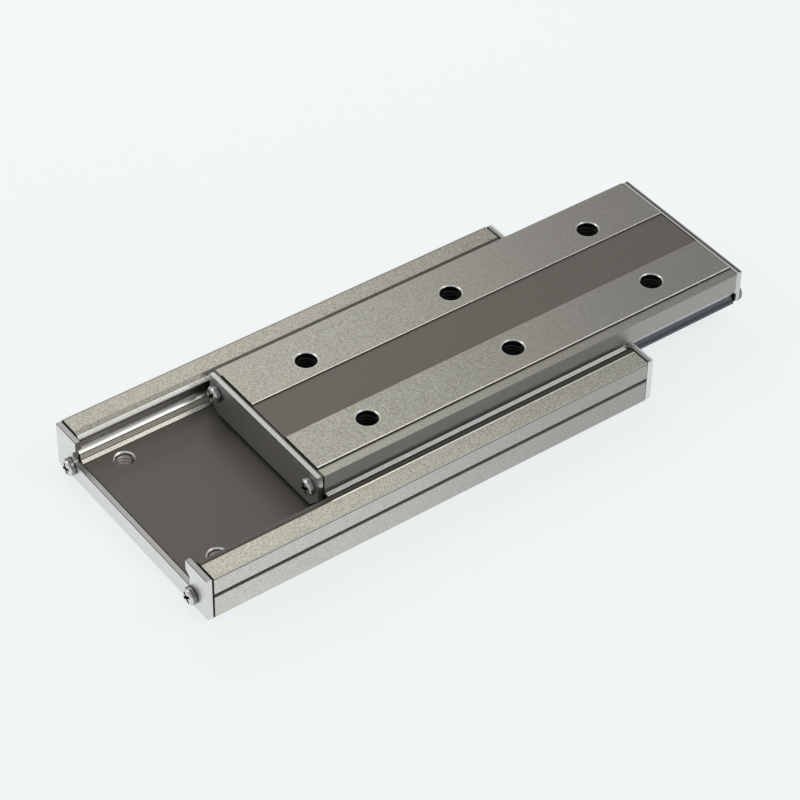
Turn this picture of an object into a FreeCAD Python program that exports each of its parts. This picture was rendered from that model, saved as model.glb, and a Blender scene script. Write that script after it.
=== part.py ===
import FreeCAD, Part
import math
import os

# Low linear slide: a table runs on two rows of caged balls inside a U-shaped bed.
# Millimetres. X runs along the slide, Y across it (left is +Y), Z up.
# The origin is the centre of the bed's underside. The near end is -X, the far end is +X.
# The table is drawn at the far end of its travel.

Vector = FreeCAD.Vector
NEAR = -1
FAR = 1
LEFT = 1
RIGHT = -1
END_NAMES = {NEAR: "near", FAR: "far"}
SIDE_NAMES = {LEFT: "left", RIGHT: "right"}

# Travel
half_stroke = 28.4
cage_end_gap = 0.3

# Balls and raceways
ball_diameter = 3.5
ball_clearance = 0.05
ball_gap = 1.4
raceway_offset = 1.0
raceway_rise = 3.2

# Bed
bed_width = 50.0
bed_length = 97.6
floor_thickness = 3.8
wall_rise = 2.9
wall_outer_chamfer = 0.12
bed_bottom_radius = 0.8
relief_height = 5.6
relief_radius = 0.45
bed_end_chamfer = 0.3

# Inner face of the bed's walls, offsets from the centre of the balls
wall_top_offset = 2.55
shelf_edge_offset = 1.3
shelf_drop = 0.15
upper_land_offset = 1.0
upper_land_drop = 0.9
lower_land_offset = 0.9
foot_top_offset = 0.55
foot_inset = 0.15
foot_rise = 0.4

# Tapped holes in the bed for M4
bed_hole_diameter = 3.3
bed_hole_chamfer = 0.45
bed_hole_spacing_x = 83.2
bed_hole_spacing_y = 30.6

# Table
table_width = 35.0
table_lower_setback = 0.3
table_length = 97.0
table_thickness = 8.5
recess_width = 10.6
recess_depth = 0.3
ledge_width = 2.2
ledge_depth = 0.42
land_edge_chamfer = 0.06
table_bottom_chamfer = 0.6
table_end_chamfer = 0.15

# Tapped holes in the table for M5
table_hole_diameter = 4.2
table_hole_chamfer = 0.2
table_hole_pitch = 33.4
table_hole_columns = 3
table_row_spacing = 19.4

# Bed end plates
bed_plate_thickness = 1.2
bed_plate_side_inset = 0.2
bed_plate_top_drop = 0.1
bed_plate_bottom_rise = 0.35
sill_rise = 0.45
opening_clearance = 0.7
flare_width = 1.2
flare_rise = 0.8

# Table end plates
table_plate_thickness = 1.3
table_plate_side_inset = 0.25
table_plate_top_drop = 0.4
near_corner_cut = 2.4
far_corner_cut = 1.2
sill_clearance = 0.35

# Pan-head screws M2
screw_diameter = 2.0
screw_length = 5.0
screw_tip_chamfer = 0.3
head_diameter = 3.5
head_height = 1.3
head_fillet = 0.75
cross_length = 2.0
cross_width = 0.5
cross_depth = 0.7
plate_hole_clearance = 0.1
tapped_clearance = 0.02
tapped_hole_spare = 0.6
bed_screw_inset = 4.9
bed_screw_height = 2.85
near_screw_inset = 2.45
near_screw_rise = 4.8
far_screw_from_groove = 1.2
far_screw_rise = 1.6

# Ball cages
cage_thickness = 0.95
pocket_clearance = 0.1
cage_web = 0.35
cage_end_web = 0.6
cage_line_width = 0.2
cage_line_depth = 0.12

# Sizes that follow from the ones above
raceway_z = floor_thickness + raceway_rise
raceway_y = table_width / 2 + raceway_offset
groove_radius = ball_diameter / 2 + ball_clearance
bed_height = raceway_z + wall_rise
sill_top = floor_thickness + sill_rise
table_bottom = sill_top + sill_clearance
table_top = table_bottom + table_thickness
table_shift = half_stroke
cage_shift = half_stroke / 2
cage_length = bed_length - half_stroke - 2 * cage_end_gap
cage_height = ball_diameter + 2 * pocket_clearance + 2 * cage_web
ball_pitch = ball_diameter + ball_gap
ball_room = cage_length - ball_diameter - 2 * cage_end_web
balls_per_side = int(ball_room / ball_pitch + 1e-6) + 1


def line(start, end):
    """Straight edge between two (y, z) points in the cross-section plane."""
    return Part.LineSegment(Vector(0, *start), Vector(0, *end)).toShape()


def polyline(points):
    """Straight edges through a list of (y, z) points."""
    return [line(a, b) for a, b in zip(points, points[1:])]


def arc(start, middle, end):
    """Round edge through three (y, z) points."""
    return Part.Arc(Vector(0, *start), Vector(0, *middle), Vector(0, *end)).toShape()


def mirrored_prism(half_edges, length, start_x):
    """Solid from a half outline that starts and ends on the centre plane."""
    origin = Vector(0, 0, 0)
    other_half = [edge.mirror(origin, Vector(0, 1, 0)) for edge in half_edges]
    wire = Part.Wire(Part.__sortEdges__(half_edges + other_half))
    solid = Part.Face(wire).extrude(Vector(length, 0, 0))
    solid.translate(Vector(start_x, 0, 0))
    return solid.removeSplitter()


def break_end_edges(solid, width, length, bottom, top, size):
    """Chamfer the outer edges round both end faces of a prism centred on X."""
    block = Part.makeBox(length, width, top - bottom, Vector(-length / 2, -width / 2, bottom))
    ends = [edge for edge in block.Edges
            if abs(abs(edge.CenterOfMass.x) - length / 2) < 1e-6]
    return solid.common(block.makeChamfer(size, ends)).removeSplitter()


def groove_offset(distance):
    """Height from the raceway's centre to its lip on a plane at this distance."""
    return math.sqrt(groove_radius ** 2 - distance ** 2)


def tapped_hole(x, y, mouth_z, through_z, diameter, chamfer):
    """Cutter for a vertical through hole with a chamfered mouth at mouth_z."""
    depth = mouth_z - through_z
    radius = diameter / 2
    drill = Part.makeCylinder(radius, depth, Vector(x, y, through_z))
    mouth = Part.makeCone(radius, radius + chamfer, chamfer, Vector(x, y, mouth_z - chamfer))
    return drill.fuse(mouth)


def screw_hole(x, y, z, end, depth, radius):
    """Cutter for a level hole that runs in from an end face."""
    return Part.makeCylinder(radius, depth, Vector(x, y, z), Vector(-end, 0, 0))


def make_bed():
    """U-shaped bed with a ball groove inside each wall."""
    half = bed_width / 2
    lower_land = raceway_y + lower_land_offset
    upper_land = raceway_y + upper_land_offset
    lower_lip = raceway_z - groove_offset(lower_land_offset)
    upper_lip = raceway_z + groove_offset(upper_land_offset)
    corner = bed_bottom_radius * (1 - math.sqrt(0.5))
    edges = [line((0, 0), (half - bed_bottom_radius, 0))]
    edges.append(arc((half - bed_bottom_radius, 0), (half - corner, corner),
                     (half, bed_bottom_radius)))
    edges.append(line((half, bed_bottom_radius), (half, relief_height - relief_radius)))
    edges.append(arc((half, relief_height - relief_radius), (half - relief_radius, relief_height),
                     (half, relief_height + relief_radius)))
    edges += polyline([(half, relief_height + relief_radius),
                       (half, bed_height - wall_outer_chamfer),
                       (half - wall_outer_chamfer, bed_height),
                       (raceway_y + wall_top_offset, bed_height),
                       (raceway_y + shelf_edge_offset, bed_height - shelf_drop),
                       (upper_land, bed_height - upper_land_drop),
                       (upper_land, upper_lip)])
    edges.append(arc((upper_land, upper_lip), (raceway_y + groove_radius, raceway_z),
                     (lower_land, lower_lip)))
    edges += polyline([(lower_land, lower_lip),
                       (raceway_y + foot_top_offset, floor_thickness + foot_rise),
                       (raceway_y - foot_inset, floor_thickness),
                       (0, floor_thickness)])
    bed = mirrored_prism(edges, bed_length, -bed_length / 2)
    bed = break_end_edges(bed, bed_width, bed_length, 0, bed_height, bed_end_chamfer)
    for x_sign in (NEAR, FAR):
        for y_sign in (LEFT, RIGHT):
            bed = bed.cut(tapped_hole(x_sign * bed_hole_spacing_x / 2,
                                      y_sign * bed_hole_spacing_y / 2,
                                      floor_thickness, 0, bed_hole_diameter, bed_hole_chamfer))
    for end in (NEAR, FAR):
        for side in (LEFT, RIGHT):
            y, z = bed_screw_place(side)
            depth = screw_length - bed_plate_thickness + tapped_hole_spare
            bed = bed.cut(screw_hole(end * bed_length / 2, y, z, end, depth,
                                     screw_diameter / 2 + tapped_clearance))
    return bed


def make_table():
    """Table with two ground lands, a shallow recess and a ball groove in each side."""
    half = table_width / 2
    lower_side = half - table_lower_setback
    upper_lip = raceway_z + groove_offset(raceway_y - half)
    lower_lip = raceway_z - groove_offset(raceway_y - lower_side)
    land_outer = half - ledge_width
    land_inner = recess_width / 2
    recess_z = table_top - recess_depth
    ledge_z = table_top - ledge_depth
    edges = polyline([(0, recess_z),
                      (land_inner, recess_z),
                      (land_inner, table_top - land_edge_chamfer),
                      (land_inner + land_edge_chamfer, table_top),
                      (land_outer - land_edge_chamfer, table_top),
                      (land_outer, table_top - land_edge_chamfer),
                      (land_outer, ledge_z),
                      (half, ledge_z),
                      (half, upper_lip)])
    edges.append(arc((half, upper_lip), (raceway_y - groove_radius, raceway_z),
                     (lower_side, lower_lip)))
    edges += polyline([(lower_side, lower_lip),
                       (lower_side, table_bottom + table_bottom_chamfer),
                       (lower_side - table_bottom_chamfer, table_bottom),
                       (0, table_bottom)])
    table = mirrored_prism(edges, table_length, -table_length / 2)
    table = break_end_edges(table, table_width, table_length, table_bottom, table_top,
                            table_end_chamfer)
    for column in range(table_hole_columns):
        x = (column - (table_hole_columns - 1) / 2) * table_hole_pitch
        for side in (LEFT, RIGHT):
            table = table.cut(tapped_hole(x, side * table_row_spacing / 2, table_top, table_bottom,
                                          table_hole_diameter, table_hole_chamfer))
    for end in (NEAR, FAR):
        for side in (LEFT, RIGHT):
            y, z = table_screw_place(end, side)
            depth = screw_length - table_plate_thickness + tapped_hole_spare
            table = table.cut(screw_hole(end * table_length / 2, y, z, end, depth,
                                         screw_diameter / 2 + tapped_clearance))
    table.translate(Vector(table_shift, 0, 0))
    return table


def bed_screw_place(side):
    """(y, z) of a screw that holds a bed end plate."""
    return side * (bed_width / 2 - bed_screw_inset), bed_screw_height


def table_screw_place(end, side):
    """(y, z) of a screw that holds a table end plate; the far pair sits lower."""
    if end == NEAR:
        return side * (table_width / 2 - near_screw_inset), table_bottom + near_screw_rise
    groove_bottom = raceway_y - groove_radius
    return side * (groove_bottom - far_screw_from_groove), table_bottom + far_screw_rise


def end_plate(half_points, thickness, face_x, end, screw_places):
    """Flat plate on an end face, from a half outline, with its screw holes."""
    start_x = face_x if end == FAR else face_x - thickness
    plate = mirrored_prism(polyline(half_points), thickness, start_x)
    for y, z in screw_places:
        hole = Part.makeCylinder(screw_diameter / 2 + plate_hole_clearance, thickness,
                                 Vector(start_x, y, z), Vector(1, 0, 0))
        plate = plate.cut(hole)
    return plate


def make_bed_end_plate(end):
    """U-shaped plate that closes the ball grooves and keeps the cages in the bed."""
    outer = bed_width / 2 - bed_plate_side_inset
    opening = table_width / 2 + opening_clearance
    top = bed_height - bed_plate_top_drop
    flare_top = raceway_z + flare_rise
    points = [(0, bed_plate_bottom_rise),
              (outer, bed_plate_bottom_rise),
              (outer, top),
              (opening, top),
              (opening, flare_top),
              (opening + flare_width, flare_top - flare_width),
              (opening + flare_width, sill_top),
              (0, sill_top)]
    places = [bed_screw_place(side) for side in (LEFT, RIGHT)]
    return end_plate(points, bed_plate_thickness, end * bed_length / 2, end, places)


def make_table_end_plate(end):
    """Plate across the end of the table, with its lower corners cut off."""
    outer = table_width / 2 - table_plate_side_inset
    cut = near_corner_cut if end == NEAR else far_corner_cut
    top = table_top - table_plate_top_drop
    points = [(0, table_bottom),
              (outer - cut, table_bottom),
              (outer, table_bottom + cut),
              (outer, top),
              (0, top)]
    places = [table_screw_place(end, side) for side in (LEFT, RIGHT)]
    return end_plate(points, table_plate_thickness, table_shift + end * table_length / 2, end,
                     places)


def make_screw(face_x, y, z, end):
    """Pan-head screw with a cross recess; its head seats on the plate at face_x."""
    head = Part.makeCylinder(head_diameter / 2, head_height, Vector(0, 0, 0), Vector(1, 0, 0))
    crown = [edge for edge in head.Edges if edge.CenterOfMass.x > head_height - 1e-6]
    head = head.makeFillet(head_fillet, crown)
    corner = Vector(head_height - cross_depth, -cross_length / 2, -cross_width / 2)
    slot = Part.makeBox(cross_depth, cross_length, cross_width, corner)
    turned = slot.copy()
    turned.rotate(Vector(0, 0, 0), Vector(1, 0, 0), 90)
    head = head.cut(slot.fuse(turned))
    shank = Part.makeCylinder(screw_diameter / 2, screw_length - screw_tip_chamfer,
                              Vector(0, 0, 0), Vector(-1, 0, 0))
    tip = Part.makeCone(screw_diameter / 2, screw_diameter / 2 - screw_tip_chamfer,
                        screw_tip_chamfer, Vector(screw_tip_chamfer - screw_length, 0, 0),
                        Vector(-1, 0, 0))
    screw = head.fuse(shank.fuse(tip)).removeSplitter()
    if end == NEAR:
        screw.rotate(Vector(0, 0, 0), Vector(0, 0, 1), 180)
    screw.translate(Vector(face_x, y, z))
    return screw


def ball_places():
    """X of each ball in a row."""
    first = cage_shift - (balls_per_side - 1) * ball_pitch / 2
    return [first + index * ball_pitch for index in range(balls_per_side)]


def make_cage(side):
    """Thin upright strip with a round pocket for each ball."""
    centre_y = side * raceway_y
    start_x = cage_shift - cage_length / 2
    corner = Vector(start_x, centre_y - cage_thickness / 2, raceway_z - cage_height / 2)
    cage = Part.makeBox(cage_length, cage_thickness, cage_height, corner)
    for edge_z, inward in ((raceway_z + cage_height / 2, -1), (raceway_z - cage_height / 2, 1)):
        wire = Part.makePolygon([Vector(start_x, centre_y - cage_line_width / 2, edge_z),
                                 Vector(start_x, centre_y + cage_line_width / 2, edge_z),
                                 Vector(start_x, centre_y, edge_z + inward * cage_line_depth),
                                 Vector(start_x, centre_y - cage_line_width / 2, edge_z)])
        cage = cage.cut(Part.Face(wire).extrude(Vector(cage_length, 0, 0)))
    for x in ball_places():
        pocket = Part.makeCylinder(ball_diameter / 2 + pocket_clearance, cage_thickness,
                                   Vector(x, centre_y - cage_thickness / 2, raceway_z),
                                   Vector(0, 1, 0))
        cage = cage.cut(pocket)
    return cage


def make_ball(x, side):
    """One ball, centred between the two grooves of its row."""
    return Part.makeSphere(ball_diameter / 2, Vector(x, side * raceway_y, raceway_z))


def build():
    """All pieces by node name."""
    nodes = {"bed": make_bed(), "table": make_table()}
    for end in (NEAR, FAR):
        end_name = END_NAMES[end]
        nodes[f"bed_end_plate_{end_name}"] = make_bed_end_plate(end)
        nodes[f"table_end_plate_{end_name}"] = make_table_end_plate(end)
        bed_face = end * (bed_length / 2 + bed_plate_thickness)
        table_face = table_shift + end * (table_length / 2 + table_plate_thickness)
        for side in (LEFT, RIGHT):
            place = f"{end_name}_{SIDE_NAMES[side]}"
            nodes[f"bed_screw_{place}"] = make_screw(bed_face, *bed_screw_place(side), end)
            nodes[f"table_screw_{place}"] = make_screw(table_face, *table_screw_place(end, side),
                                                       end)
    for side in (LEFT, RIGHT):
        nodes[f"ball_cage_{SIDE_NAMES[side]}"] = make_cage(side)
        for number, x in enumerate(ball_places(), start=1):
            nodes[f"ball_{SIDE_NAMES[side]}_{number:02d}"] = make_ball(x, side)
    return nodes


def main():
    """Write one STEP file per piece."""
    os.makedirs("parts", exist_ok=True)
    for name, shape in build().items():
        if shape.ShapeType != "Solid" and len(shape.Solids) == 1:
            shape = shape.Solids[0]
        shape.exportStep(os.path.join("parts", f"{name}.step"))
        print(f"{name}: volume {shape.Volume:.2f}, solids {len(shape.Solids)}, valid {shape.isValid()}")


main()
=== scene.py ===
"""Finishes, small parts, light and camera for a low linear slide that runs on caged balls."""

import itertools
import logging
import math
from dataclasses import dataclass, field
from enum import Enum
from typing import Any, Iterable, Optional, Union

import bmesh
import bpy
from mathutils import Matrix, Vector


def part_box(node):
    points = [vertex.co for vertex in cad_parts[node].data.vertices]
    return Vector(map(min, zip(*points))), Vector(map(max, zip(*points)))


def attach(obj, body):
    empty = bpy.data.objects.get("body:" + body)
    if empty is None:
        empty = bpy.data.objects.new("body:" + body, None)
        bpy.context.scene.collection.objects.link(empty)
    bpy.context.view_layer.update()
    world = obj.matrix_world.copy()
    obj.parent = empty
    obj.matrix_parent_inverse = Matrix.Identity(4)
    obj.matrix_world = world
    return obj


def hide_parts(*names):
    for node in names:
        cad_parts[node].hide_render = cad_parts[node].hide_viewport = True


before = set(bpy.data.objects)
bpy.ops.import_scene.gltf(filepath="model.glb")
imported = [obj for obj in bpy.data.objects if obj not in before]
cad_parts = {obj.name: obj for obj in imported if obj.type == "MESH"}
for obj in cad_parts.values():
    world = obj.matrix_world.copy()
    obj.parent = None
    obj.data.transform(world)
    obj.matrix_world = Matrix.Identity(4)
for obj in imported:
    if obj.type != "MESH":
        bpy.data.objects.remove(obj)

MM = 0.001
LOG = logging.getLogger("linear_slide")

Colour = tuple[float, float, float]
Span = tuple[float, float]
Number = Union[int, float]

# Half the width of a sharp change between two finishes, in millimetres
SHARP = 0.02
# How far under a face its finish still lies, in millimetres
SKIN = 0.03
# How strongly the grain changes a finish's colour and its roughness
GRAIN_CONTRAST = 3.0
GRAIN_ROUGHNESS = 0.25
# Half the flat at a thread's foot and crest, as a share of its pitch
THREAD_FLAT = 0.06
# Points of a new mesh that are closer than this become one, in millimetres
MERGE = 0.002


class End(Enum):
    """An end of the slide, with the sign of its side of X."""

    NEAR = -1
    FAR = 1


class Side(Enum):
    """A long side of the slide, with the sign of its side of Y."""

    LEFT = 1
    RIGHT = -1


class Body(str, Enum):
    """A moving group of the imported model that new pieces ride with."""

    BED = "bed_unit"
    TABLE = "table_unit"


class Slot(str, Enum):
    """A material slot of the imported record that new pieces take."""

    BED = "bed_steel"
    TABLE = "table_steel"
    SCREW = "screw_steel"


class Face(Enum):
    """A kind of face on a screw, with its place among the screw's materials."""

    BRIGHT = 0
    RIM = 1
    RECESS = 2


class Value:
    """A value socket in shader maths. Arithmetic on it adds Math nodes."""

    def __init__(self, tree: "ShaderTree", socket: bpy.types.NodeSocket) -> None:
        """Wrap a socket.

        Args:
            tree: The tree that the socket's node is in.
            socket: An output socket with one number.
        """
        self.tree = tree
        self.socket = socket

    def _math(self, operation: str, *values: Union["Value", Number]) -> "Value":
        """Add a Math node.

        Args:
            operation: What it does.
            values: The values or numbers that it takes.

        Returns:
            Its result.
        """
        inputs = dict(enumerate(values))
        made = self.tree.node("ShaderNodeMath", {"operation": operation}, inputs)
        return Value(self.tree, made.outputs[0])

    def __add__(self, other: Union["Value", Number]) -> "Value":
        """Return the sum."""
        return self._math("ADD", self, other)

    __radd__ = __add__

    def __sub__(self, other: Union["Value", Number]) -> "Value":
        """Return the difference."""
        return self._math("SUBTRACT", self, other)

    def __rsub__(self, other: Number) -> "Value":
        """Return a number less this value."""
        return self._math("SUBTRACT", other, self)

    def __mul__(self, other: Union["Value", Number]) -> "Value":
        """Return the product."""
        return self._math("MULTIPLY", self, other)

    __rmul__ = __mul__

    def __abs__(self) -> "Value":
        """Return the size without its sign."""
        return self._math("ABSOLUTE", self)

    def off(self, period: Number) -> "Value":
        """Return how far the value is from the nearest multiple of a period."""
        return self._math("PINGPONG", self, period / 2)

    def above(self, edge: Number, blur: Number = SHARP) -> "Value":
        """Return 1 where the value is over an edge and 0 under it.

        Args:
            edge: The value at the middle of the change.
            blur: Half the width of the change.

        Returns:
            The mask.
        """
        made = self.tree.node("ShaderNodeMapRange", {"interpolation_type": "SMOOTHSTEP"},
                              {"Value": self, "From Min": edge - blur, "From Max": edge + blur})
        return Value(self.tree, made.outputs[0])

    def between(self, low: Number, high: Number, blur: Number = SHARP) -> "Value":
        """Return 1 where the value is in a range and 0 elsewhere."""
        return self.above(low, blur) * (1 - self.above(high, blur))


class ShaderTree:
    """A material's node tree with one method for its nodes."""

    def __init__(self, name: str) -> None:
        """Make an empty material.

        Args:
            name: The material's name.
        """
        self.material = bpy.data.materials.new(name)
        self.material.use_nodes = True
        self.tree = self.material.node_tree
        self.tree.nodes.clear()

    def node(self, kind: str, settings: Optional[dict[str, Any]] = None,
             inputs: Optional[dict[Union[str, int], Any]] = None) -> bpy.types.Node:
        """Add a node.

        Args:
            kind: The node's type.
            settings: Its own settings, set before its inputs.
            inputs: A number, colour or link for each named or numbered socket.

        Returns:
            The new node.
        """
        made = self.tree.nodes.new(kind)
        for key, value in (settings or {}).items():
            setattr(made, key, value)
        for key, value in (inputs or {}).items():
            if isinstance(value, Value):
                self.tree.links.new(value.socket, made.inputs[key])
            elif isinstance(value, bpy.types.NodeSocket):
                self.tree.links.new(value, made.inputs[key])
            else:
                made.inputs[key].default_value = value
        return made

    def place(self) -> tuple[bpy.types.NodeSocket, Value, Value, Value]:
        """Read the point on the piece.

        Returns:
            The point as a vector and as X, Y and Z, in millimetres.
        """
        point = self.node("ShaderNodeTexCoord").outputs["Object"]
        scaled = self.node("ShaderNodeVectorMath", {"operation": "SCALE"},
                           {0: point, "Scale": 1 / MM}).outputs[0]
        parts = self.node("ShaderNodeSeparateXYZ", None, {0: scaled}).outputs
        return scaled, Value(self, parts[0]), Value(self, parts[1]), Value(self, parts[2])

    def noise(self, point: bpy.types.NodeSocket, size: float, detail: float, roughness: float) -> Value:
        """Return noise from 0 to 1.

        Args:
            point: The point in millimetres.
            size: The noise's spacing in millimetres.
            detail: How many finer layers it has.
            roughness: How strong the finer layers are.

        Returns:
            The noise.
        """
        made = self.node("ShaderNodeTexNoise", None,
                         {"Vector": point, "Scale": 1 / size, "Detail": detail, "Roughness": roughness})
        return Value(self, made.outputs[0])

    def mix(self, factor: Value, first: Any, second: Any) -> bpy.types.NodeSocket:
        """Return a mix of two colours."""
        made = self.node("ShaderNodeMix", {"data_type": "RGBA"}, {0: factor, 6: first, 7: second})
        return made.outputs[2]

    def blend(self, factor: Value, first: Union[Value, Number], second: Union[Value, Number]) -> Value:
        """Return a mix of two values."""
        made = self.node("ShaderNodeMix", {"data_type": "FLOAT"}, {0: factor, 2: first, 3: second})
        return Value(self, made.outputs[0])


@dataclass(frozen=True)
class Steel:
    """How one kind of steel face is finished.

    Attributes:
        colour: Its mean colour.
        roughness: How wide it spreads a reflection.
        grain: How far the colour swings from grain to grain.
        grain_size: The spacing of the grain in millimetres.
        relief: How deep the grain's bumps look.
        stretch: How many times longer the grain is along the slide.
    """

    colour: Colour
    roughness: float
    grain: float = 0.06
    grain_size: float = 0.25
    relief: float = 0.15
    stretch: float = 1.0


# Ground faces, with a visible grain, and copies of them with painted light, painted shade and painted
# highlights
GROUND = Steel((0.358, 0.342, 0.292), roughness=0.42, grain=0.38, grain_size=0.27, relief=0.30)
# Painted light: the right wall's top is a lighter copy of the ground finish
GROUND_LIT_RIGHT = Steel((0.428, 0.410, 0.350), roughness=0.42, grain=0.38, grain_size=0.27, relief=0.30)
GROUND_LAND = Steel((0.345, 0.334, 0.284), roughness=0.42, grain=0.34, grain_size=0.27, relief=0.25)
# Painted shade: the table's lands and ledges greyer and darker towards the far end
GROUND_LAND_FAR_SHADE = Steel((0.325, 0.304, 0.278), roughness=0.42, grain=0.14, grain_size=0.30, relief=0.12)
# Painted shade: the shelves inside the walls' tops are a darker copy of the ground finish
GROUND_SLOPE_SHADE = Steel((0.285, 0.272, 0.23), roughness=0.42, grain=0.36, grain_size=0.27, relief=0.30)
# Painted shade: dark lines along the walls' outer edges and a painted contact shadow along the sides' feet
EDGE_SHADE_LINE = Steel((0.26, 0.25, 0.22), roughness=0.45, grain=0.10, grain_size=0.30, relief=0.10)
# Painted highlight: thin bright lines along inner edges
EDGE_HIGHLIGHT = Steel((0.82, 0.80, 0.72), roughness=0.35, grain=0.15, grain_size=0.27, relief=0.10)
# Painted shadow of the table on the left shelf where the table stands over it
SLOPE_TABLE_SHADOW = Steel((0.10, 0.094, 0.08), roughness=0.42, grain=0.34, grain_size=0.27, relief=0.20)
# Dull faces of the channel and the recess
DULL = Steel((0.160, 0.146, 0.131), roughness=0.60, grain=0.04, grain_size=0.60, relief=0.06)
# Painted light: the channel's floor lighter towards the left wall
DULL_LIT_LEFT = Steel((0.250, 0.230, 0.207), roughness=0.60, grain=0.04, grain_size=0.60, relief=0.06)
DULL_RECESS = Steel((0.196, 0.174, 0.152), roughness=0.60, grain=0.05, grain_size=0.60, relief=0.06)
# Painted shade: dark lines and deep places
SHADED = Steel((0.105, 0.099, 0.084), roughness=0.45, grain=0.06, grain_size=0.40, relief=0.08)
# Painted shade in crevices, bores and end chamfers
BLACK_SHADE = Steel((0.022, 0.021, 0.018), roughness=0.50, grain=0.05, grain_size=0.40, relief=0.05)
# Painted shade in grooves, gaps and under lips
GAP_SHADE = Steel((0.070, 0.066, 0.058), roughness=0.50, grain=0.05, grain_size=0.40, relief=0.05)
# The bed's and the table's sides
SIDE = Steel((0.67, 0.65, 0.60), roughness=0.32, grain=0.17, grain_size=0.30, relief=0.16)
# Painted shade: the bed's sides darken from the near end to the far end
SIDE_FAR_SHADE = Steel((0.40, 0.385, 0.367), roughness=0.32, grain=0.12, grain_size=0.30, relief=0.14)
TABLE_SIDE = Steel((0.470, 0.459, 0.432), roughness=0.65, grain=0.04, grain_size=0.45, relief=0.06)
RELIEF = Steel((0.42, 0.42, 0.40), roughness=0.40, grain=0.05, grain_size=0.30, relief=0.06)
# The ball ways
# Painted highlight: bright chamfers, edges and hole mouths
CHAMFER_HIGHLIGHT = Steel((0.95, 0.91, 0.79), roughness=0.34, grain=0.24, grain_size=0.40, relief=0.15)
# Painted highlight: the bright band along each wall's foot
FOOT_HIGHLIGHT = Steel((0.73, 0.70, 0.62), roughness=0.34, grain=0.24, grain_size=0.30, relief=0.12)
WAY = Steel((0.72, 0.71, 0.665), roughness=0.26, grain=0.03, grain_size=0.40, relief=0.03, stretch=8.0)
# Painted light on the table's grooves, and a dark band of painted shade in them
WAY_LIT = Steel((0.86, 0.87, 0.88), roughness=0.58, grain=0.05, grain_size=0.40, relief=0.04, stretch=8.0)
WAY_SHADE = Steel((0.11, 0.114, 0.122), roughness=0.25, grain=0.05, grain_size=0.40, relief=0.04, stretch=8.0)
# Painted light: the lower land in the bed's ways is lightened
INNER_LAND_LIT = Steel((0.92, 0.88, 0.77), roughness=0.60, grain=0.08, grain_size=0.40, relief=0.06)
# The holes
# Painted highlight round the mouths of the table's holes
RING_HIGHLIGHT = Steel((0.72, 0.70, 0.68), roughness=0.28, grain=0.04, grain_size=0.30, relief=0.05)
BORE = Steel((0.46, 0.43, 0.40), roughness=0.40, grain=0.06, grain_size=0.30, relief=0.08)
# The end plates
PLATE = Steel((0.77, 0.77, 0.755), roughness=0.32, grain=0.05, grain_size=0.35, relief=0.08)
PLATE_DARK = Steel((0.63, 0.625, 0.61), roughness=0.32, grain=0.05, grain_size=0.35, relief=0.08)
PLATE_EDGE = Steel((0.30, 0.298, 0.285), roughness=0.40, grain=0.12, grain_size=0.40, relief=0.15)
# Painted light: a lighter copy of the plates' edge finish
PLATE_EDGE_LIT = Steel((0.38, 0.37, 0.352), roughness=0.35, grain=0.08, grain_size=0.40, relief=0.10)
# The cages
STRIP = Steel((0.95, 0.95, 0.93), roughness=0.34, grain=0.04, grain_size=0.40, relief=0.05, stretch=10.0)
STRIP_LINE = Steel((0.72, 0.72, 0.70), roughness=0.34, grain=0.04, grain_size=0.40, relief=0.05, stretch=10.0)
# The screws
BRIGHT = Steel((0.70, 0.70, 0.69), roughness=0.12, grain=0.02, grain_size=0.30, relief=0.02)
# Painted shade round the heads' rims, inside the crosses and under the heads
RIM_SHADE = Steel((0.30, 0.30, 0.294), roughness=0.22, grain=0.04, grain_size=0.30, relief=0.04)
RECESS_SHADE = Steel((0.025, 0.025, 0.025), roughness=0.35, grain=0.04, grain_size=0.30, relief=0.04)
# The balls
# Painted shade: the balls are dark so that they read as the shade beside the cages
BALL_SHADE = Steel((0.07, 0.068, 0.060), roughness=0.30, grain=0.01, grain_size=0.40, relief=0.0)


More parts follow.
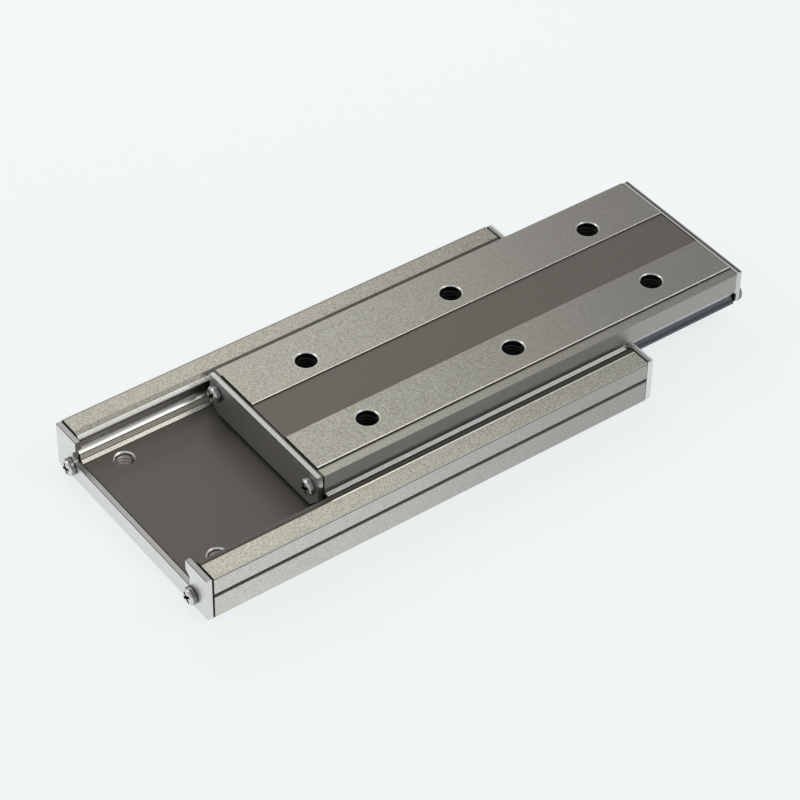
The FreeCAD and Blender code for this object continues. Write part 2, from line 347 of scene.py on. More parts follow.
class SteelShader(ShaderTree):
    """A steel material made of finishes that are laid over each other by masks."""

    def __init__(self, name: str, base: Steel, edge_radius: float = 0.12) -> None:
        """Start with one finish all over.

        Args:
            name: The material's name.
            base: The finish where no other is laid.
            edge_radius: How far each sharp edge looks rounded, in millimetres.
        """
        super().__init__(name)
        self.point, self.x, self.y, self.z = self.place()
        self.across = abs(self.y)
        self.left = self.y.above(0.0)
        self.right = 1 - self.left
        self.grains: dict[tuple[float, float], Value] = {}
        self.colour, self.roughness, self.height = self._finish(base)
        self.normal = self._bevel(edge_radius)

    def _bevel(self, radius: float) -> bpy.types.NodeSocket:
        """Return normals that make sharp edges look rounded by a radius in millimetres."""
        return self.node("ShaderNodeBevel", {"samples": 4}, {"Radius": radius * MM}).outputs[0]

    def round_off(self, radius: float, mask: Value) -> None:
        """Make edges look rounder where a mask is 1.

        Args:
            radius: How far they look rounded there, in millimetres.
            mask: 1 where they do.
        """
        wider = self._bevel(radius)
        mixed = self.node("ShaderNodeMix", {"data_type": "VECTOR"}, {0: mask, 4: self.normal, 5: wider})
        self.normal = mixed.outputs[1]

    def lean(self, amount: float, mask: Value) -> None:
        """Make faces look turned towards the sky where a mask is 1.

        Args:
            amount: How far they look turned: 0 not at all, 1 fully.
            mask: 1 where they do.
        """
        mixed = self.node("ShaderNodeMix", {"data_type": "VECTOR"},
                          {0: mask * amount, 4: self.normal, 5: (0.0, 0.0, 1.0)})
        turned = self.node("ShaderNodeVectorMath", {"operation": "NORMALIZE"}, {0: mixed.outputs[1]})
        self.normal = turned.outputs[0]

    def _grain(self, steel: Steel) -> Value:
        """Make the grain of a finish, or take the one that a finish like it has.

        Args:
            steel: The finish.

        Returns:
            The grain, from 0 to 1.
        """
        key = (steel.grain_size, steel.stretch)
        if key not in self.grains:
            stretched = self.node("ShaderNodeMapping", None,
                                  {"Vector": self.point, "Scale": (1 / steel.stretch, 1.0, 1.0)})
            self.grains[key] = self.noise(stretched.outputs[0], steel.grain_size, detail=3.0, roughness=0.60)
        return self.grains[key]

    def _finish(self, steel: Steel) -> tuple[bpy.types.NodeSocket, Value, Value]:
        """Make the maps of a finish.

        Args:
            steel: The finish.

        Returns:
            Its colour, roughness and height.
        """
        grain = self._grain(steel)
        spread = (grain - 0.5) * GRAIN_CONTRAST + 0.5
        dark = [channel * (1 - steel.grain) for channel in steel.colour] + [1.0]
        light = [min(1.0, channel * (1 + steel.grain)) for channel in steel.colour] + [1.0]
        colour = self.mix(spread, dark, light)
        roughness = (grain - 0.5) * (GRAIN_ROUGHNESS * steel.roughness) + steel.roughness
        return colour, roughness, grain * steel.relief

    def lay(self, steel: Steel, mask: Value) -> None:
        """Lay a finish over the ones before it.

        Args:
            steel: The finish.
            mask: 1 where it lies.
        """
        colour, roughness, height = self._finish(steel)
        self.colour = self.mix(mask, self.colour, colour)
        self.roughness = self.blend(mask, self.roughness, roughness)
        self.height = self.blend(mask, self.height, height)

    def done(self) -> bpy.types.Material:
        """Join the layers to a metal surface.

        Returns:
            The material.
        """
        bump = self.node("ShaderNodeBump", None,
                         {"Strength": 0.5, "Distance": 0.03 * MM, "Height": self.height,
                          "Normal": self.normal})
        shader = self.node("ShaderNodeBsdfPrincipled", None,
                           {"Base Color": self.colour, "Roughness": self.roughness, "Metallic": 1.0,
                            "Normal": bump.outputs[0]})
        self.node("ShaderNodeOutputMaterial", None, {"Surface": shader.outputs[0]})
        return self.material


def dress(piece: bpy.types.Object, material: bpy.types.Material) -> None:
    """Put one material on a piece in place of what it has."""
    piece.data.materials.clear()
    piece.data.materials.append(material)


def mesh_object(name: str, form: bmesh.types.BMesh) -> bpy.types.Object:
    """Turn a bmesh into an object in the scene.

    Args:
        name: The object's name.
        form: The bmesh, which is freed.

    Returns:
        The new object.
    """
    bmesh.ops.remove_doubles(form, verts=form.verts, dist=MERGE * MM)
    bmesh.ops.recalc_face_normals(form, faces=form.faces)
    mesh = bpy.data.meshes.new(name)
    form.to_mesh(mesh)
    form.free()
    made = bpy.data.objects.new(name, mesh)
    bpy.context.scene.collection.objects.link(made)
    return made


def soften(piece: bpy.types.Object, degrees: float) -> None:
    """Shade a piece smooth, apart from edges sharper than an angle."""
    piece.data.shade_smooth()
    piece.data.set_sharp_from_angle(angle=math.radians(degrees))


def thread_ridge(form: bmesh.types.BMesh, foot: float, crest: float, pitch: float, turns: int,
                 steps: int = 28) -> None:
    """Add a helical ridge round the Z axis that climbs from z = 0.

    Args:
        form: The bmesh to add it to.
        foot: The radius of the ridge's foot in millimetres.
        crest: The radius of its crest in millimetres.
        pitch: The rise of a turn in millimetres.
        turns: How many turns it makes.
        steps: How many faces one turn has.
    """
    flat = THREAD_FLAT * pitch
    outline = ((foot, flat), (crest, pitch / 2 - flat), (crest, pitch / 2 + flat), (foot, pitch - flat))
    verts = [form.verts.new((radius * MM, 0, height * MM)) for radius, height in outline]
    face = form.faces.new(verts)
    bmesh.ops.spin(form, geom=[face, *face.edges, *face.verts], cent=(0, 0, 0), axis=(0, 0, 1),
                   dvec=(0, 0, pitch / steps * MM), angle=math.tau * turns, steps=steps * turns,
                   use_merge=False, use_duplicate=False)


@dataclass
class Screws:
    """The small pan-head screws of the end plates, sizes in millimetres and turns in degrees."""

    shank_radius: float = 1.0
    core_radius: float = 0.8
    shank_length: float = 5.0
    tip_length: float = 0.35
    tip_radius: float = 0.48
    pitch: float = 0.4
    thread_sink: float = 0.02
    thread_play: float = 0.01
    head_radius: float = 1.75
    head_foot: float = 1.65
    head_height: float = 1.3
    head_rim: float = 0.62
    head_seat: float = 0.14
    head_shade: float = 0.90
    head_flat: float = 0.95
    dome_steps: int = 8
    cross_reach: float = 1.50
    cross_width: float = 0.74
    cross_depth: float = 0.90
    cross_taper: float = 0.55
    around: int = 48
    turns: dict[str, float] = field(default_factory=lambda: {
        "bed_screw_near_left": 20.0, "bed_screw_near_right": 38.0,
        "bed_screw_far_left": 64.0, "bed_screw_far_right": 11.0,
        "table_screw_near_left": 50.0, "table_screw_near_right": 30.0,
        "table_screw_far_left": 5.0, "table_screw_far_right": 72.0})

    def face_material(self) -> bpy.types.Material:
        """Return the bright plated steel of the heads' faces and the shanks."""
        return SteelShader("bright_screw_steel", BRIGHT, edge_radius=0.05).done()

    def rim_material(self) -> bpy.types.Material:
        """Return the steel round the heads, greyer with painted shade."""
        return SteelShader("screw_rim_steel", RIM_SHADE, edge_radius=0.05).done()

    def recess_material(self) -> bpy.types.Material:
        """Return the steel inside the cross and under the heads, dark with painted shade."""
        return SteelShader("screw_cross_steel", RECESS_SHADE, edge_radius=0.02).done()

    def _outline(self) -> list[tuple[float, float]]:
        """Draw the head's half outline.

        Returns:
            Its points as (along, radius), in millimetres.
        """
        points = [(0.0, 0.0), (0.0, self.head_foot), (self.head_seat, self.head_radius),
                  (self.head_rim, self.head_radius)]
        for step in range(1, self.dome_steps + 1):
            angle = math.pi / 2 * step / self.dome_steps
            along = self.head_rim + (self.head_height - self.head_rim) * math.sin(angle)
            points.append((along, self.head_flat + (self.head_radius - self.head_flat) * math.cos(angle)))
        points.append((self.head_height, 0.0))
        return points

    def _head(self) -> bmesh.types.BMesh:
        """Turn the head about X, with its seat at x = 0.

        Returns:
            The head without its recess.
        """
        form = bmesh.new()
        verts = [form.verts.new((along * MM, radius * MM, 0)) for along, radius in self._outline()]
        edges = [form.edges.new(pair) for pair in zip(verts, verts[1:])]
        bmesh.ops.spin(form, geom=[*verts, *edges], cent=(0, 0, 0), axis=(1, 0, 0), angle=math.tau,
                       steps=self.around, use_merge=True, use_duplicate=False)
        # Faces under the head and round its rim take painted shade
        for face in form.faces:
            along = face.calc_center_median().x / MM
            kind = Face.BRIGHT
            if SKIN < along < self.head_shade:
                kind = Face.RECESS if along < self.head_seat else Face.RIM
            face.material_index = kind.value
        return form

    def _cross(self) -> bmesh.types.BMesh:
        """Make the cutter for the recess, narrower at its bottom.

        Returns:
            The cross-shaped cutter.
        """
        form = bmesh.new()
        for turn in (0.0, math.pi / 2):
            made = bmesh.ops.create_cube(form, size=1.0)["verts"]
            bmesh.ops.scale(form, verts=made, vec=(2 * self.cross_depth * MM, 2 * self.cross_reach * MM,
                                                   self.cross_width * MM))
            bottom = [vert for vert in made if vert.co.x < 0]
            bmesh.ops.scale(form, verts=bottom, vec=(1.0, self.cross_taper, self.cross_taper))
            bmesh.ops.rotate(form, verts=made, cent=(0, 0, 0), matrix=Matrix.Rotation(turn, 3, "X"))
        bmesh.ops.translate(form, verts=form.verts, vec=(self.head_height * MM, 0, 0))
        return form

    def _shank(self) -> bmesh.types.BMesh:
        """Make the shank, from x = 0 towards -X.

        Returns:
            The shank with its thread and tip.
        """
        form = bmesh.new()
        plain = (self.shank_length - self.tip_length) * MM
        core = bmesh.ops.create_cone(form, cap_ends=True, segments=self.around,
                                     radius1=self.core_radius * MM, radius2=self.core_radius * MM,
                                     depth=plain)["verts"]
        bmesh.ops.translate(form, verts=core, vec=(0, 0, plain / 2))
        tip = bmesh.ops.create_cone(form, cap_ends=True, segments=self.around,
                                    radius1=self.core_radius * MM, radius2=self.tip_radius * MM,
                                    depth=self.tip_length * MM)["verts"]
        bmesh.ops.translate(form, verts=tip, vec=(0, 0, plain + self.tip_length / 2 * MM))
        turns = math.floor(plain / MM / self.pitch) - 1
        thread_ridge(form, self.core_radius - self.thread_sink, self.shank_radius - self.thread_play,
                     self.pitch, turns)
        turned = Matrix.Rotation(-math.pi / 2, 3, "Y")
        bmesh.ops.rotate(form, verts=form.verts, cent=(0, 0, 0), matrix=turned)
        return form

    def model(self) -> bpy.types.Object:
        """Make one screw, with its seat at the origin and its head towards +X.

        Returns:
            The pattern for all the screws.
        """
        finishes = (self.face_material(), self.rim_material(), self.recess_material())
        head = mesh_object("screw_head_blank", self._head())
        cutter = mesh_object("screw_cross_cutter", self._cross())
        for finish in finishes:
            head.data.materials.append(finish)
        dress(cutter, finishes[Face.RECESS.value])
        cut = head.modifiers.new("cross", "BOOLEAN")
        cut.operation = "DIFFERENCE"
        cut.solver = "EXACT"
        cut.use_self = True
        cut.material_mode = "TRANSFER"
        cut.object = cutter
        graph = bpy.context.evaluated_depsgraph_get()
        carved = bpy.data.meshes.new_from_object(head.evaluated_get(graph))
        form = self._shank()
        form.from_mesh(carved)
        for unused in (head, cutter):
            bpy.data.objects.remove(unused)
        made = mesh_object("screw_pattern", form)
        for finish in finishes:
            made.data.materials.append(finish)
        soften(made, 40.0)
        return made

    def _seat(self, node: str, end: End) -> tuple[float, float, float]:
        """Find where a plain screw's head seats.

        Args:
            node: The plain screw's name.
            end: The end of the slide that it is on.

        Returns:
            The middle of its seat, in metres.
        """
        low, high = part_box(node)
        along = high.x - self.head_height * MM if end is End.FAR else low.x + self.head_height * MM
        return along, (low.y + high.y) / 2, (low.z + high.z) / 2

    def build(self) -> None:
        """Put a detailed screw in the place of each plain one."""
        pattern = self.model()
        for piece, body in (("bed", Body.BED), ("table", Body.TABLE)):
            for end, side in itertools.product(End, Side):
                place = f"{piece}_screw_{end.name.lower()}_{side.name.lower()}"
                mesh = pattern.data.copy()
                facing = Matrix.Rotation(math.pi if end is End.NEAR else 0.0, 4, "Z")
                turn = Matrix.Rotation(math.radians(self.turns[place]), 4, "X")
                mesh.transform(Matrix.Translation(self._seat(place, end)) @ facing @ turn)
                screw = bpy.data.objects.new(f"pan_{place}", mesh)
                bpy.context.scene.collection.objects.link(screw)
                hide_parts(place)
                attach(screw, body.value)
        bpy.data.objects.remove(pattern)
        LOG.info("screws: %d", len(self.turns))


@dataclass(frozen=True)
class TappedHole:
    """A kind of tapped hole, sizes in millimetres.

    Attributes:
        radius: Its radius.
        rise: How far its thread stands into it.
        pitch: The rise of a turn.
        bottom: The height of its lower end.
        mouth: The height where its mouth begins.
        start: How far over its lower end the thread starts.
        plain: The least length that stays without a thread.
        sink: How far the thread reaches into the wall.
    """

    radius: float
    rise: float
    pitch: float
    bottom: float
    mouth: float
    start: float = 0.1
    plain: float = 0.5
    sink: float = 0.01

    def ridge(self, name: str, x: float, y: float, steel: bpy.types.Material) -> bpy.types.Object:
        """Make the thread of one hole.

        Args:
            name: The object's name.
            x: The hole's place along the slide, in millimetres.
            y: Its place across the slide.
            steel: The material of the body that it is cut in.

        Returns:
            The thread, in its place.
        """
        form = bmesh.new()
        turns = math.floor((self.mouth - self.bottom - self.plain) / self.pitch)
        thread_ridge(form, self.radius + self.sink, self.radius - self.rise, self.pitch, turns)
        bmesh.ops.translate(form, verts=form.verts, vec=(x * MM, y * MM, (self.bottom + self.start) * MM))
        made = mesh_object(name, form)
        soften(made, 30.0)
        dress(made, steel)
        return made


@dataclass
class Bed:
    """The U-shaped bed with its end plates and tapped holes, sizes in millimetres."""

    floor: float = 3.8
    foot_top: float = 4.2
    foot_inner: float = 18.35
    land_top: float = 5.44
    groove_top: float = 8.5
    chamfer_bottom: float = 9.0
    shelf_bottom: float = 9.4
    shelf_edge: float = 19.8
    shelf_outer: float = 21.05
    wall_top: float = 9.9
    top_chamfer: float = 0.12
    half_width: float = 25.0
    half_length: float = 48.8
    end_chamfer: float = 0.3
    relief: float = 5.6
    relief_half: float = 0.45
    relief_depth: float = 0.6
    plate_top: float = 9.8
    plate_outer: float = 50.0
    sill_top: float = 4.25
    sill_half: float = 19.3
    covered: float = -21.0
    hole_x: float = 41.6
    hole_y: float = 15.3
    hole_radius: float = 1.65
    hole_mouth: float = 0.45
    thread_pitch: float = 0.7
    thread_rise: float = 0.24

    # Lines and bands of painted shade and painted light on the steel, and where its normals lean or round
    relief_shade: float = 0.05
    foot_line: Span = (0.1, 0.5)
    side_line: Span = (9.42, 9.74)
    top_line: float = 0.35
    inner_line: Span = (20.97, 21.25)
    shelf_rim: float = 0.1
    shelf_shade: float = 0.55
    chamfer_reach: float = 0.32
    chamfer_lean: float = 0.28
    lean_heights: Span = (8.64, 9.75)
    lip_round: float = 0.5
    lip_shade: float = 0.12
    land_shade: float = 0.16
    foot_shade: float = 0.14
    floor_reach: float = 0.1
    floor_light: float = 15.0
    floor_shade: float = 0.3
    mouth_light: float = 0.315
    mouth_dark: float = 0.57
    plate_line: float = 0.14
    far_light: float = 0.3
    far_bright: float = 0.4

    def _lay_sides(self, shader: SteelShader) -> None:
        """Finish the outer sides, with painted shade towards the far end and in their relief grooves, and a
        painted shade line along their feet.

        Args:
            shader: The bed's shader.
        """
        z, across = shader.z, shader.across
        low, high = self.relief - self.relief_half, self.relief + self.relief_half
        groove = across.between(self.half_width - self.relief_depth, self.half_width - SKIN)
        shader.lay(SIDE_FAR_SHADE, shader.x.above(0.0, blur=self.half_length))
        shader.lay(RELIEF, groove * z.between(low, high))
        shader.lay(GAP_SHADE, groove * z.between(low - SHARP, self.relief + self.relief_shade, blur=0.15))
        outer = across.above(self.half_width - self.top_chamfer)
        # Painted contact shadow along the foot of each side
        shader.lay(EDGE_SHADE_LINE, outer * z.between(*self.foot_line, blur=0.06))

    def _lay_tops(self, shader: SteelShader) -> None:
        """Finish the walls' tops, with painted light on the right one and painted shade lines along their
        outer edges.

        Args:
            shader: The bed's shader.
        """
        z, across = shader.z, shader.across
        top = z.above(self.wall_top - SKIN) * across.above(self.shelf_outer)
        outer = self.half_width - self.top_chamfer
        rim = z.above(self.wall_top - self.top_chamfer) * across.above(outer - self.top_line, blur=0.04)
        shader.lay(GROUND, top)
        shader.lay(GROUND_LIT_RIGHT, top * shader.right)
        shader.lay(EDGE_SHADE_LINE, rim * shader.left)
        shader.lay(EDGE_SHADE_LINE, across.above(outer) * shader.right * z.between(*self.side_line, blur=0.06))

    def _lay_shelves(self, shader: SteelShader) -> None:
        """Finish the shallow shelves inside the walls' tops, with painted shade, the table's painted shadow
        and a painted highlight.

        Args:
            shader: The bed's shader.
        """
        z, across = shader.z, shader.across
        shelf = across.between(self.shelf_edge, self.shelf_outer) * z.above(self.shelf_bottom)
        left, right = shelf * shader.left, shelf * shader.right
        covered = shader.x.above(self.covered, blur=1.0)
        inner = 1 - across.above(self.shelf_outer - self.shelf_rim, blur=0.06)
        rim = z.above(self.wall_top - self.top_chamfer) * across.between(*self.inner_line)
        shader.lay(GROUND_SLOPE_SHADE, left)
        shader.lay(SLOPE_TABLE_SHADOW, left * covered * inner)
        shader.lay(SHADED, right)
        shader.lay(GAP_SHADE, right * across.above(self.shelf_outer - self.shelf_shade, blur=0.1))
        shader.lay(EDGE_HIGHLIGHT, rim * shader.right * covered)

    def _lay_ways(self, shader: SteelShader) -> None:
        """Finish the ball ways: chamfer, upper lip, groove, lower lip, leaning land and foot, with painted
        highlights, painted light and painted shade.

        Args:
            shader: The bed's shader.
        """
        z, across = shader.z, shader.across
        way = 1 - across.above(self.shelf_outer)
        upper = way * (1 - across.above(self.shelf_edge))
        lip_top = self.chamfer_bottom - self.chamfer_reach
        shader.lay(CHAMFER_HIGHLIGHT, upper * z.between(lip_top, self.wall_top, blur=0.06))
        shader.lay(SHADED, upper * z.between(self.groove_top - self.lip_shade, lip_top, blur=0.06))
        shader.lay(WAY, way * z.between(self.land_top, self.groove_top))
        shader.lay(INNER_LAND_LIT, way * z.between(self.foot_top, self.land_top))
        shader.lay(GAP_SHADE, way * z.between(self.land_top - self.land_shade, self.land_top, blur=0.05))
        shader.lay(SHADED, way * z.between(self.foot_top, self.foot_top + self.foot_shade, blur=0.05))
        shader.lay(FOOT_HIGHLIGHT, way * z.between(self.floor, self.foot_top))
        shader.round_off(self.lip_round, upper * z.above(self.chamfer_bottom + self.lip_round))
        shader.lean(self.chamfer_lean, upper * shader.left * z.between(*self.lean_heights, blur=0.15))

    def _lay_floor(self, shader: SteelShader) -> None:
        """Finish the channel's floor and its holes: painted light and shade on the floor, and a mouth bright
        with a painted highlight over a dark ring of painted shade.

        Args:
            shader: The bed's shader.
        """
        z, across = shader.z, shader.across
        channel = 1 - across.above(self.foot_inner)
        floor = channel * z.between(self.floor - self.floor_reach, self.floor + self.floor_reach)
        mouth = self.floor - self.mouth_light
        shader.lay(DULL, floor)
        shader.lay(DULL_LIT_LEFT, floor * shader.left * across.above(self.floor_light, blur=3.0))
        shader.lay(SHADED, floor * across.above(self.foot_inner - self.floor_shade, blur=0.2))
        shader.lay(CHAMFER_HIGHLIGHT, channel * z.between(mouth, self.floor - SKIN))
        shader.lay(BORE, channel * z.between(SKIN, mouth))
        shader.lay(GAP_SHADE, channel * z.between(self.floor - self.mouth_dark, mouth))

    def body_material(self) -> bpy.types.Material:
        """Make the bed's steel: ground on its top, duller on its floor, polished in its grooves.

        Returns:
            The material.
        """
        shader = SteelShader("bed_ground_steel", SIDE)
        self._lay_sides(shader)
        self._lay_tops(shader)
        self._lay_shelves(shader)
        self._lay_ways(shader)
        self._lay_floor(shader)
        # Painted shade on the end chamfers, where the plates meet the bed
        shader.lay(BLACK_SHADE, abs(shader.x).above(self.half_length - self.end_chamfer + SHARP))
        return shader.done()

    def plate_material(self) -> bpy.types.Material:
        """Make the rolled steel of the end plates, greyer along their sheared edges, with painted shade lines
        and painted light and a painted highlight on the far plate's edge.

        Returns:
            The material.
        """
        shader = SteelShader("end_plate_steel", PLATE, edge_radius=0.10)
        x, z = shader.x, shader.z
        middle = 1 - shader.across.above(self.sill_half)
        sill = middle * z.between(self.sill_top - SKIN, self.sill_top + SKIN)
        edge = z.above(self.plate_top - SKIN) + sill
        shader.lay(PLATE_EDGE, edge)
        shader.lay(SHADED, edge * abs(x).above(self.plate_outer - self.plate_line, blur=0.04))
        shader.lay(PLATE_EDGE_LIT, edge * x.above(self.half_length + self.far_light, blur=0.05))
        shader.lay(PLATE, edge * x.above(self.plate_outer - self.far_bright, blur=0.05))
        shader.lay(BLACK_SHADE, edge * (1 - abs(x).above(self.half_length + self.plate_line, blur=0.04)))
        return shader.done()

    def build(self) -> None:
        """Dress the bed and its plates and cut the threads of its holes."""
        steel = self.body_material()
        dress(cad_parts["bed"], steel)
        plate = self.plate_material()
        hole = TappedHole(self.hole_radius, self.thread_rise, self.thread_pitch, bottom=0.0,
                          mouth=self.floor - self.hole_mouth)
        for end in End:
            dress(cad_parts[f"bed_end_plate_{end.name.lower()}"], plate)
            for side in Side:
                name = f"bed_thread_{end.name.lower()}_{side.name.lower()}"
                ridge = hole.ridge(name, end.value * self.hole_x, side.value * self.hole_y, steel)
                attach(ridge, Body.BED.value)
        LOG.info("bed: body, 2 end plates, 4 threads")


@dataclass
class Table:
    """The sliding table with its end plates and tapped holes, sizes in millimetres."""

    top: float = 13.1
    ledge: float = 12.68
    recess: float = 12.8
    recess_half: float = 5.3
    land_outer: float = 15.3
    half_width: float = 17.5
    half_length: float = 48.5
    end_chamfer: float = 0.15
    bottom: float = 4.6
    groove_inner: float = 15.6
    groove_top: float = 8.5
    plate_top: float = 12.7
    notch_top: float = 7.7
    shift: float = 28.4
    column_pitch: float = 33.4
    row_y: float = 9.7
    hole_radius: float = 2.1
    hole_mouth: float = 0.2
    thread_pitch: float = 0.8
    thread_rise: float = 0.26

    # Lines and bands of painted shade and painted light on the steel
    # Middle and half length of the painted shade that darkens the lands towards the far end
    fade: Span = (36.0, 34.0)
    step_shade: float = 0.2
    recess_rim: float = 0.1
    recess_line: float = 0.14
    land_line: float = 0.15
    land_margin: float = 0.3
    ring_width: float = 0.05
    groove_dark: Span = (4.9, 7.3)
    flank_margin: float = 0.2

    # Painted highlights and painted shade lines across a plate's edge, measured from the table's end
    near_shade: float = 0.40
    far_bright: Span = (0.25, 0.60)
    far_shade: float = 1.00
    flank_dark: float = 0.35
    flank_bright: float = 1.0
    notch_dark: float = 0.45

    def _lay_lands(self, shader: SteelShader) -> None:
        """Finish the lands, the ledges beside them and the recess between them, darkened towards the far end
        by painted shade.

        Args:
            shader: The table's shader.
        """
        z, across = shader.z, shader.across
        beside = across.above(self.land_outer)
        recess = 1 - across.above(self.recess_half)
        far = z.above(self.ledge - SKIN) * across.above(self.recess_half) * shader.x.above(*self.fade)
        shader.lay(DULL_RECESS, z.above(self.recess - SKIN) * recess)
        shader.lay(GROUND_LAND, z.above(self.top - SKIN) * across.between(self.recess_half, self.land_outer))
        shader.lay(GROUND_LAND, z.above(self.ledge - SKIN) * beside)
        shader.lay(GROUND_LAND_FAR_SHADE, far)

    def _lay_edges(self, shader: SteelShader) -> None:
        """Finish the low steps and edges of the lands with painted shade and painted highlights.

        Args:
            shader: The table's shader.
        """
        z, across = shader.z, shader.across
        step = across.between(self.land_outer - SKIN, self.land_outer + self.step_shade, blur=0.04)
        wall = 1 - across.above(self.recess_half + self.recess_rim)
        outer = across.above(self.land_outer - self.land_line, blur=0.05)
        inner = 1 - across.above(self.recess_half + self.recess_line, blur=0.05)
        shader.lay(SHADED, step * z.between(self.ledge - SKIN, self.top - SKIN) * shader.right)
        shader.lay(BLACK_SHADE, wall * z.between(self.recess + SHARP, self.top - SKIN - SHARP))
        shader.lay(CHAMFER_HIGHLIGHT, outer * z.above(self.top - self.land_line - SHARP) * shader.right)
        shader.lay(EDGE_HIGHLIGHT, inner * z.above(self.top - SKIN - SHARP) * shader.left)

    def _lay_holes(self, shader: SteelShader) -> None:
        """Finish the holes: a ring of painted highlight round the mouth of each and a bore of painted shade.

        Args:
            shader: The table's shader.
        """
        z, across = shader.z, shader.across
        holes = across.between(self.recess_half + self.land_margin, self.land_outer - self.land_margin)
        lands = across.between(self.recess_half, self.land_outer)
        mouth = self.top - self.hole_mouth
        shader.lay(RING_HIGHLIGHT, holes * z.between(mouth, self.top - SKIN))
        shader.lay(BLACK_SHADE, holes * z.between(self.bottom + SKIN, mouth))
        along, beside = (shader.x - self.shift).off(self.column_pitch), across - self.row_y
        reach = along * along + beside * beside
        ring = (self.hole_radius + self.hole_mouth + self.ring_width) ** 2
        shader.lay(RING_HIGHLIGHT, z.above(self.top - SKIN) * lands * (1 - reach.above(ring, blur=0.15)))

    def body_material(self) -> bpy.types.Material:
        """Make the table's steel: ground lands, a dull recess and polished grooves, with painted light and
        painted shade in the grooves.

        Returns:
            The material.
        """
        shader = SteelShader("table_ground_steel", TABLE_SIDE, edge_radius=0.08)
        self._lay_lands(shader)
        self._lay_edges(shader)
        self._lay_holes(shader)
        grooves = shader.across.above(self.groove_inner) * (1 - shader.z.above(self.groove_top))
        shader.lay(WAY_LIT, grooves)
        shader.lay(WAY_SHADE, grooves * shader.z.between(*self.groove_dark, blur=0.25))
        # Painted shade on the end chamfers, where the plates meet the table
        shader.lay(BLACK_SHADE, abs(shader.x - self.shift).above(self.half_length - self.end_chamfer + SHARP))
        return shader.done()

    def plate_material(self) -> bpy.types.Material:
        """Make the rolled steel of the end plates, with painted light along their top edges and painted
        highlights and painted shade lines on their edges, flanks and notches.

        Returns:
            The material.
        """
        shader = SteelShader("table_plate_steel", PLATE_DARK, edge_radius=0.10)
        far = shader.x.above(self.shift)
        beyond = abs(shader.x - self.shift) - self.half_length
        edge = shader.z.above(self.plate_top - SKIN)
        near_edge, far_edge = edge * (1 - far), edge * far
        flank = shader.across.above(self.half_width - self.flank_margin) * (1 - far)
        bright_flank = beyond.above(self.flank_bright, blur=0.05)
        land = 1 - shader.across.above(self.land_outer)
        notch = 1 - shader.z.above(self.notch_top, blur=0.15)
        shader.lay(PLATE, far * shader.across.above(self.half_width - self.flank_margin))
        shader.lay(PLATE_EDGE_LIT, edge)
        shader.lay(SHADED, near_edge * (1 - beyond.above(self.near_shade, blur=0.08)))
        shader.lay(BLACK_SHADE, far_edge * (1 - beyond.above(self.far_bright[0], blur=0.05)) * land)
        shader.lay(PLATE, far_edge * beyond.between(*self.far_bright, blur=0.05))
        shader.lay(SHADED, far_edge * beyond.between(self.far_bright[1], self.far_shade, blur=0.05))
        shader.lay(PLATE, flank * bright_flank)
        shader.lay(SHADED, flank * (1 - bright_flank))
        shader.lay(BLACK_SHADE, flank * (1 - beyond.above(self.flank_dark, blur=0.05)))
        shader.lay(BLACK_SHADE, far * notch * (1 - beyond.above(self.notch_dark, blur=0.05)))
        return shader.done()

    def build(self) -> None:
        """Dress the table and its plates and cut the threads of its holes."""
        steel = self.body_material()
        dress(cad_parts["table"], steel)
        plate = self.plate_material()
        hole = TappedHole(self.hole_radius, self.thread_rise, self.thread_pitch, bottom=self.bottom,
                          mouth=self.top - self.hole_mouth)
        for end in End:
            dress(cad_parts[f"table_end_plate_{end.name.lower()}"], plate)
        for column in (-1, 0, 1):
            for side in Side:
                name = f"table_thread_{column + 2}_{side.name.lower()}"
                x = self.shift + column * self.column_pitch
                ridge = hole.ridge(name, x, side.value * self.row_y, steel)
                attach(ridge, Body.TABLE.value)
        LOG.info("table: body, 2 end plates, 6 threads")


@dataclass
class BallRows:
    """The two ball cages and their balls, sizes in millimetres."""

    strip_top: float = 9.2
    strip_middle: float = 18.5
    bright_depth: float = 0.32
    line_half: float = 0.08
    edge_round: float = 0.40
    balls: int = 0

    def strip_material(self) -> bpy.types.Material:
        """Make the cages' rolled steel: bright edges with a fine line, and painted shade on the flat sides.

        Returns:
            The material.
        """
        shader = SteelShader("cage_strip_steel", SHADED, edge_radius=0.04)
        bright = shader.z.above(self.strip_top - self.bright_depth)
        line = shader.across.between(self.strip_middle - self.line_half, self.strip_middle + self.line_half,
                                     blur=0.03)
        shader.lay(STRIP, bright)
        shader.lay(STRIP_LINE, bright * line)
        shader.round_off(self.edge_round, shader.z.above(self.strip_top - self.edge_round))
        return shader.done()

    def build(self) -> None:
        """Dress the cages and the balls."""
        strip = self.strip_material()
        # The balls' dark steel is painted shade
        polished = SteelShader("ball_polished_steel", BALL_SHADE, edge_radius=0.02).done()
        for name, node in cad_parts.items():
            if name.startswith("ball_cage_"):
                dress(node, strip)
            elif name.startswith("ball_"):
                dress(node, polished)
                self.balls += 1
        LOG.info("ball rows: 2 cages, %d balls", self.balls)


@dataclass(frozen=True)
class Softbox:
    """A soft lamp that faces a point, in metres and watts."""

    name: str
    place: tuple[float, float, float]
    aim: tuple[float, float, float]
    size: tuple[float, float]
    power: float

    def build(self) -> None:
        """Add the lamp to the scene."""
        lamp = bpy.data.lights.new(self.name, "AREA")
        lamp.shape = "RECTANGLE"
        lamp.size, lamp.size_y = self.size
        lamp.energy = self.power
        holder = bpy.data.objects.new(self.name, lamp)
        holder.location = self.place
        facing = Vector(self.aim) - Vector(self.place)
        holder.rotation_euler = facing.to_track_quat("-Z", "Y").to_euler()
        bpy.context.scene.collection.objects.link(holder)


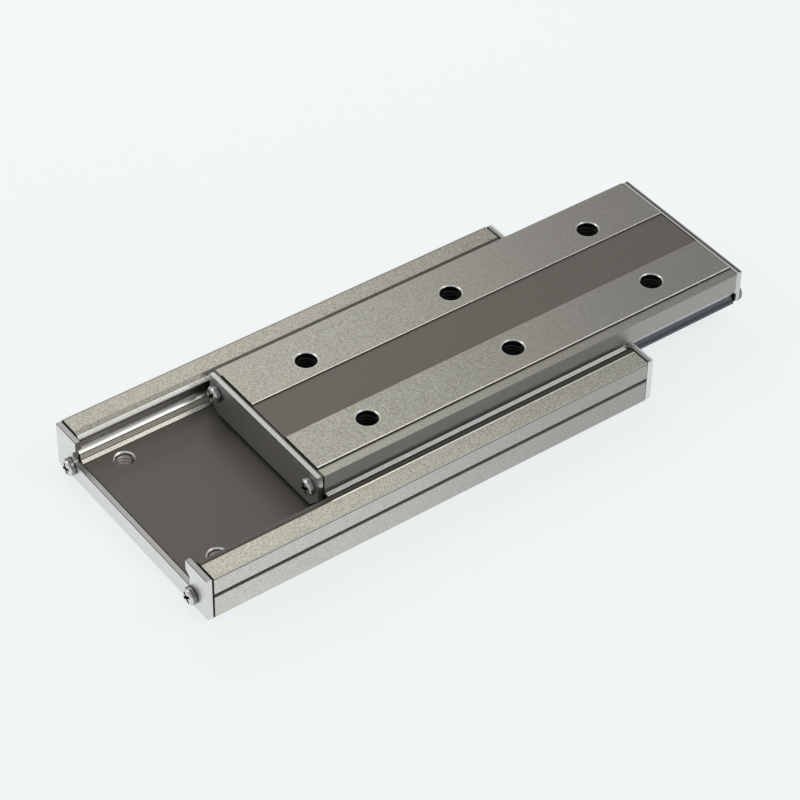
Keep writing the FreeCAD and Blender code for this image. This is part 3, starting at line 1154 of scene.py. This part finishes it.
@dataclass
class Studio:
    """The floor, the sky, the lamps and the camera, in metres, with the floor's drop in millimetres."""

    backdrop: Colour = (0.863, 0.896, 0.905)
    floor_colour: Colour = (0.90, 0.91, 0.91)
    floor_glow: Colour = (0.955, 0.988, 0.996)
    sky: float = 0.55
    glow: float = 0.75
    floor_size: float = 6.0
    floor_drop: float = 0.02
    camera_place: tuple[float, float, float] = (-0.236572, -0.329151, 0.372881)
    camera_target: tuple[float, float, float] = (0.007003, -0.003432, 0.0065)
    camera_roll: float = 0.8834
    focal_pixels: float = 2949.83
    picture_width: float = 800.0
    sensor: float = 36.0
    lamps: tuple[Softbox, ...] = (
        Softbox("front_softbox", (0.430, -0.387, 0.689), aim=(0.0, 0.0, 0.0), size=(0.65, 0.50), power=1.32),
        Softbox("back_softbox", (0.08, 0.27, 0.29), aim=(-0.03, 0.0, 0.0), size=(0.24, 0.24), power=0.27),
        Softbox("near_softbox", (-0.60, 0.45, 0.45), aim=(0.0, 0.0, 0.0), size=(0.45, 0.40), power=0.8),
    )

    def floor(self) -> None:
        """Lay a pale floor with a light shadow, clear from below so that the underside shows."""
        form = bmesh.new()
        bmesh.ops.create_grid(form, x_segments=1, y_segments=1, size=self.floor_size / 2)
        bmesh.ops.translate(form, verts=form.verts, vec=(0, 0, -self.floor_drop * MM))
        ground = mesh_object("studio_floor", form)
        shader = ShaderTree("pale_floor")
        soft = shader.node("ShaderNodeBsdfDiffuse", None, {"Color": (*self.floor_colour, 1.0)})
        glow = shader.node("ShaderNodeEmission", None, {"Color": (*self.floor_glow, 1.0), "Strength": 1.0})
        rays = shader.node("ShaderNodeLightPath").outputs
        seen = (Value(shader, rays["Is Camera Ray"]) + Value(shader, rays["Is Glossy Ray"])
                + Value(shader, rays["Is Transmission Ray"])).above(0.5, blur=0.4)
        both = shader.node("ShaderNodeMixShader", None,
                           {0: seen * self.glow, 1: soft.outputs[0], 2: glow.outputs[0]})
        under = Value(shader, shader.node("ShaderNodeNewGeometry").outputs["Backfacing"])
        clear = shader.node("ShaderNodeBsdfTransparent")
        sheet = shader.node("ShaderNodeMixShader", None, {0: under, 1: both.outputs[0], 2: clear.outputs[0]})
        shader.node("ShaderNodeOutputMaterial", None, {"Surface": sheet.outputs[0]})
        dress(ground, shader.material)

    def world(self) -> None:
        """Light everything from an even pale sky."""
        sky = bpy.data.worlds.new("even_sky")
        sky.use_nodes = True
        fill = sky.node_tree.nodes["Background"]
        fill.inputs["Color"].default_value = (*self.backdrop, 1.0)
        fill.inputs["Strength"].default_value = self.sky
        bpy.context.scene.world = sky

    def camera(self) -> None:
        """Set the camera at the photograph's viewing angle."""
        lens = bpy.data.cameras.new("view")
        lens.sensor_width = self.sensor
        lens.lens = self.focal_pixels * self.sensor / self.picture_width
        lens.clip_start = 0.01
        lens.clip_end = 20.0
        holder = bpy.data.objects.new("view", lens)
        facing = Vector(self.camera_target) - Vector(self.camera_place)
        turned = facing.to_track_quat("-Z", "Y").to_matrix().to_4x4()
        roll = Matrix.Rotation(math.radians(self.camera_roll), 4, "Z")
        holder.matrix_world = Matrix.Translation(self.camera_place) @ turned @ roll
        bpy.context.scene.collection.objects.link(holder)
        bpy.context.scene.camera = holder

    def build(self) -> None:
        """Build the whole studio."""
        bpy.context.scene.view_settings.view_transform = "Standard"
        self.world()
        self.floor()
        for lamp in self.lamps:
            lamp.build()
        self.camera()
        LOG.info("studio: floor, sky, %d lamps, camera", len(self.lamps))


def plain(box: Iterable[Iterable[float]]) -> list[list[float]]:
    """Return a box's two corners as lists of numbers."""
    return [[float(number) for number in corner] for corner in box]


def main() -> None:
    """Build the slide's looks and its studio."""
    logging.basicConfig(level=logging.INFO, format="%(name)s: %(message)s")
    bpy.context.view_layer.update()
    Bed().build()
    Table().build()
    Screws().build()
    BallRows().build()
    Studio().build()


if __name__ == "__main__":
    main()
